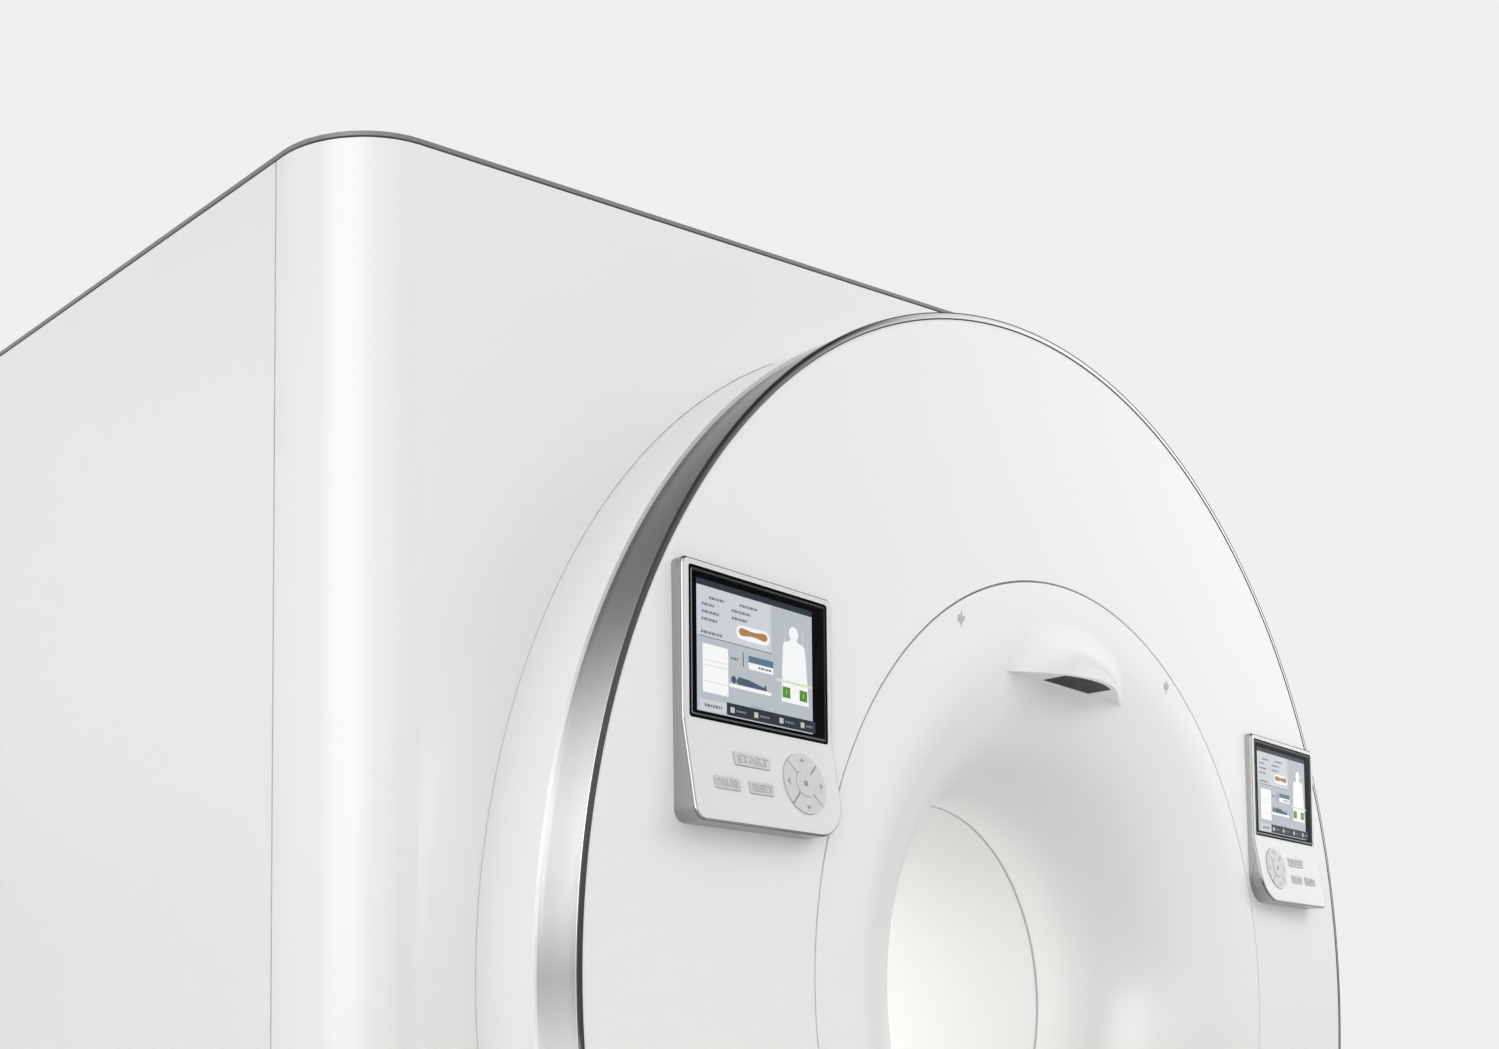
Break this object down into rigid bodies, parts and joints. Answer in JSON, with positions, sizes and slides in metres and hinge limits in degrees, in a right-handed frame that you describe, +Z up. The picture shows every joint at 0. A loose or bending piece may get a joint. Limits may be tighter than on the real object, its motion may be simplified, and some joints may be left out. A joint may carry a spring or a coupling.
{
  "type": "magnetic resonance scanner",
  "caption": "Whole-body MRI scanner: block-shaped gantry with a round front disc, flared bore, touch panels and a lifting patient table that slides into the bore.",
  "frame": {"origin": "On the floor under the centre of the magnet, at the centre of the four anchor holes in the magnet feet.", "axes": "+Y runs from the patient table into the bore, +Z is up and +X is to the right seen from the table."},
  "size_m": [2.424, 4.125, 2.2084],
  "materials": {
    "cover_white": "painted moulding, satin gloss",
    "bore_white": "smooth moulded tube",
    "bridge_white": "moulded composite",
    "trim_metal": "satin strip",
    "band_metal": "satin metallic band",
    "bead_metal": "polished bead",
    "frame_metal": "mill finish",
    "plinth_grey": "painted kick band",
    "dark_window": "dark glossy window",
    "coil_resin": "cast resin",
    "vessel_steel": "ground stainless sheet",
    "foot_steel": "painted steel",
    "panel_silver": "silver sides, white face",
    "bezel_black": "black glass plate",
    "screen_glow": "lit display",
    "key_grey": "raised light grey key",
    "table_grey": "painted sheet",
    "table_white": "painted moulding",
    "top_grey": "composite tray",
    "mat_vinyl": "soft vinyl mat"
  },
  "bodies": {
    "gantry": {"front_cover": "cover_white", "side_cover_left": "cover_white", "side_cover_right": "cover_white", "roof_cover": "cover_white", "rear_cover": "cover_white", "top_trim": "trim_metal", "plinth": "plinth_grey", "cover_frame": "frame_metal", "accent_band": "band_metal", "rim_bead": "bead_metal", "neck_collar": "cover_white", "disc_web": "frame_metal", "face_disc": "cover_white", "bell_mouth_front": "cover_white", "hood_window": "dark_window", "bore_ring_front": "bore_white", "bore_liner": "bore_white", "bore_ring_rear": "bore_white", "bell_mouth_rear": "cover_white", "rf_body_coil": "coil_resin", "gradient_coil": "coil_resin", "magnet_vessel": "vessel_steel", "cold_head": "vessel_steel", "magnet_feet": "foot_steel", "bore_bridge": "bridge_white", "table_base": "table_grey", "lower_shroud": "table_grey", "left_panel_housing": "panel_silver", "left_panel_bezel": "bezel_black", "left_panel_screen": "screen_glow", "right_panel_housing": "panel_silver", "right_panel_bezel": "bezel_black", "right_panel_screen": "screen_glow"},
    "table_lift": {"upper_shroud": "table_white", "lift_ram": "vessel_steel", "table_deck": "table_white"},
    "table_top": {"table_top": "top_grey", "table_mat": "mat_vinyl"},
    "left_start_key": {"left_start_key": "key_grey"},
    "left_pause_key": {"left_pause_key": "key_grey"},
    "left_reset_key": {"left_reset_key": "key_grey"},
    "left_pad_up": {"left_pad_up": "key_grey"},
    "left_pad_down": {"left_pad_down": "key_grey"},
    "left_pad_left": {"left_pad_left": "key_grey"},
    "left_pad_right": {"left_pad_right": "key_grey"},
    "left_pad_centre": {"left_pad_centre": "key_grey"},
    "right_start_key": {"right_start_key": "key_grey"},
    "right_pause_key": {"right_pause_key": "key_grey"},
    "right_reset_key": {"right_reset_key": "key_grey"},
    "right_pad_up": {"right_pad_up": "key_grey"},
    "right_pad_down": {"right_pad_down": "key_grey"},
    "right_pad_left": {"right_pad_left": "key_grey"},
    "right_pad_right": {"right_pad_right": "key_grey"},
    "right_pad_centre": {"right_pad_centre": "key_grey"}
  },
  "joints": [
    {"name": "table_lift", "type": "slide", "parent": "gantry", "child": "table_lift", "axis": [0, 0, 1], "range_m": [-0.32, 0]},
    {"name": "table_travel", "type": "slide", "parent": "table_lift", "child": "table_top", "axis": [0, 1, 0], "range_m": [0, 1.7]},
    {"name": "left_start_key_press", "type": "slide", "parent": "gantry", "child": "left_start_key", "axis": [0, 0.9836, -0.1803], "range_m": [0, 0.0012], "stiffness_N_per_m": 600},
    {"name": "left_pause_key_press", "type": "slide", "parent": "gantry", "child": "left_pause_key", "axis": [0, 0.9836, -0.1803], "range_m": [0, 0.0012], "stiffness_N_per_m": 600},
    {"name": "left_reset_key_press", "type": "slide", "parent": "gantry", "child": "left_reset_key", "axis": [0, 0.9836, -0.1803], "range_m": [0, 0.0012], "stiffness_N_per_m": 600},
    {"name": "left_pad_up_press", "type": "slide", "parent": "gantry", "child": "left_pad_up", "axis": [0, 0.9836, -0.1803], "range_m": [0, 0.0012], "stiffness_N_per_m": 600},
    {"name": "left_pad_down_press", "type": "slide", "parent": "gantry", "child": "left_pad_down", "axis": [0, 0.9836, -0.1803], "range_m": [0, 0.0012], "stiffness_N_per_m": 600},
    {"name": "left_pad_left_press", "type": "slide", "parent": "gantry", "child": "left_pad_left", "axis": [0, 0.9836, -0.1803], "range_m": [0, 0.0012], "stiffness_N_per_m": 600},
    {"name": "left_pad_right_press", "type": "slide", "parent": "gantry", "child": "left_pad_right", "axis": [0, 0.9836, -0.1803], "range_m": [0, 0.0012], "stiffness_N_per_m": 600},
    {"name": "left_pad_centre_press", "type": "slide", "parent": "gantry", "child": "left_pad_centre", "axis": [0, 0.9836, -0.1803], "range_m": [0, 0.0012], "stiffness_N_per_m": 600},
    {"name": "right_start_key_press", "type": "slide", "parent": "gantry", "child": "right_start_key", "axis": [0, 0.9836, -0.1803], "range_m": [0, 0.0012], "stiffness_N_per_m": 600},
    {"name": "right_pause_key_press", "type": "slide", "parent": "gantry", "child": "right_pause_key", "axis": [0, 0.9836, -0.1803], "range_m": [0, 0.0012], "stiffness_N_per_m": 600},
    {"name": "right_reset_key_press", "type": "slide", "parent": "gantry", "child": "right_reset_key", "axis": [0, 0.9836, -0.1803], "range_m": [0, 0.0012], "stiffness_N_per_m": 600},
    {"name": "right_pad_up_press", "type": "slide", "parent": "gantry", "child": "right_pad_up", "axis": [0, 0.9836, -0.1803], "range_m": [0, 0.0012], "stiffness_N_per_m": 600},
    {"name": "right_pad_down_press", "type": "slide", "parent": "gantry", "child": "right_pad_down", "axis": [0, 0.9836, -0.1803], "range_m": [0, 0.0012], "stiffness_N_per_m": 600},
    {"name": "right_pad_left_press", "type": "slide", "parent": "gantry", "child": "right_pad_left", "axis": [0, 0.9836, -0.1803], "range_m": [0, 0.0012], "stiffness_N_per_m": 600},
    {"name": "right_pad_right_press", "type": "slide", "parent": "gantry", "child": "right_pad_right", "axis": [0, 0.9836, -0.1803], "range_m": [0, 0.0012], "stiffness_N_per_m": 600},
    {"name": "right_pad_centre_press", "type": "slide", "parent": "gantry", "child": "right_pad_centre", "axis": [0, 0.9836, -0.1803], "range_m": [0, 0.0012], "stiffness_N_per_m": 600}
  ]
}
